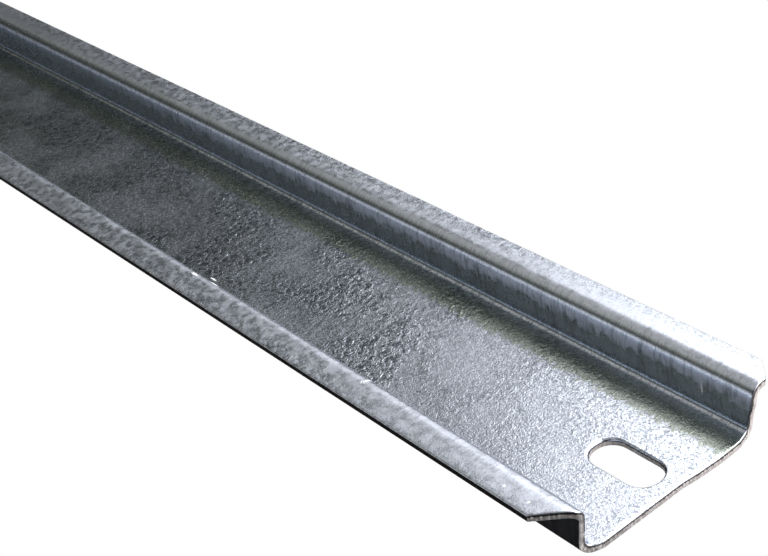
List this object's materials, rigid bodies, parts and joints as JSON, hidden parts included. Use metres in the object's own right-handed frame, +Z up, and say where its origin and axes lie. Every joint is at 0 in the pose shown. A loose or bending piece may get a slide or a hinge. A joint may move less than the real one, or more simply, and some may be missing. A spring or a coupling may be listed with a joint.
{
  "type": "din rail",
  "caption": "Top-hat mounting rail: a shallow steel channel with a lip along each side, slotted at both ends for screws.",
  "frame": {"origin": "middle of the underside of the channel floor, halfway along the rail", "axes": "+X along the rail's length, +Y across the rail towards the back lip, +Z up, out of the channel's open side"},
  "size_m": [0.3, 0.035, 0.0075],
  "materials": {
    "zinc_steel": "satin zinc-plated steel with a fine speckled grain"
  },
  "bodies": {
    "root": {"rail": "zinc_steel"}
  },
  "joints": []
}
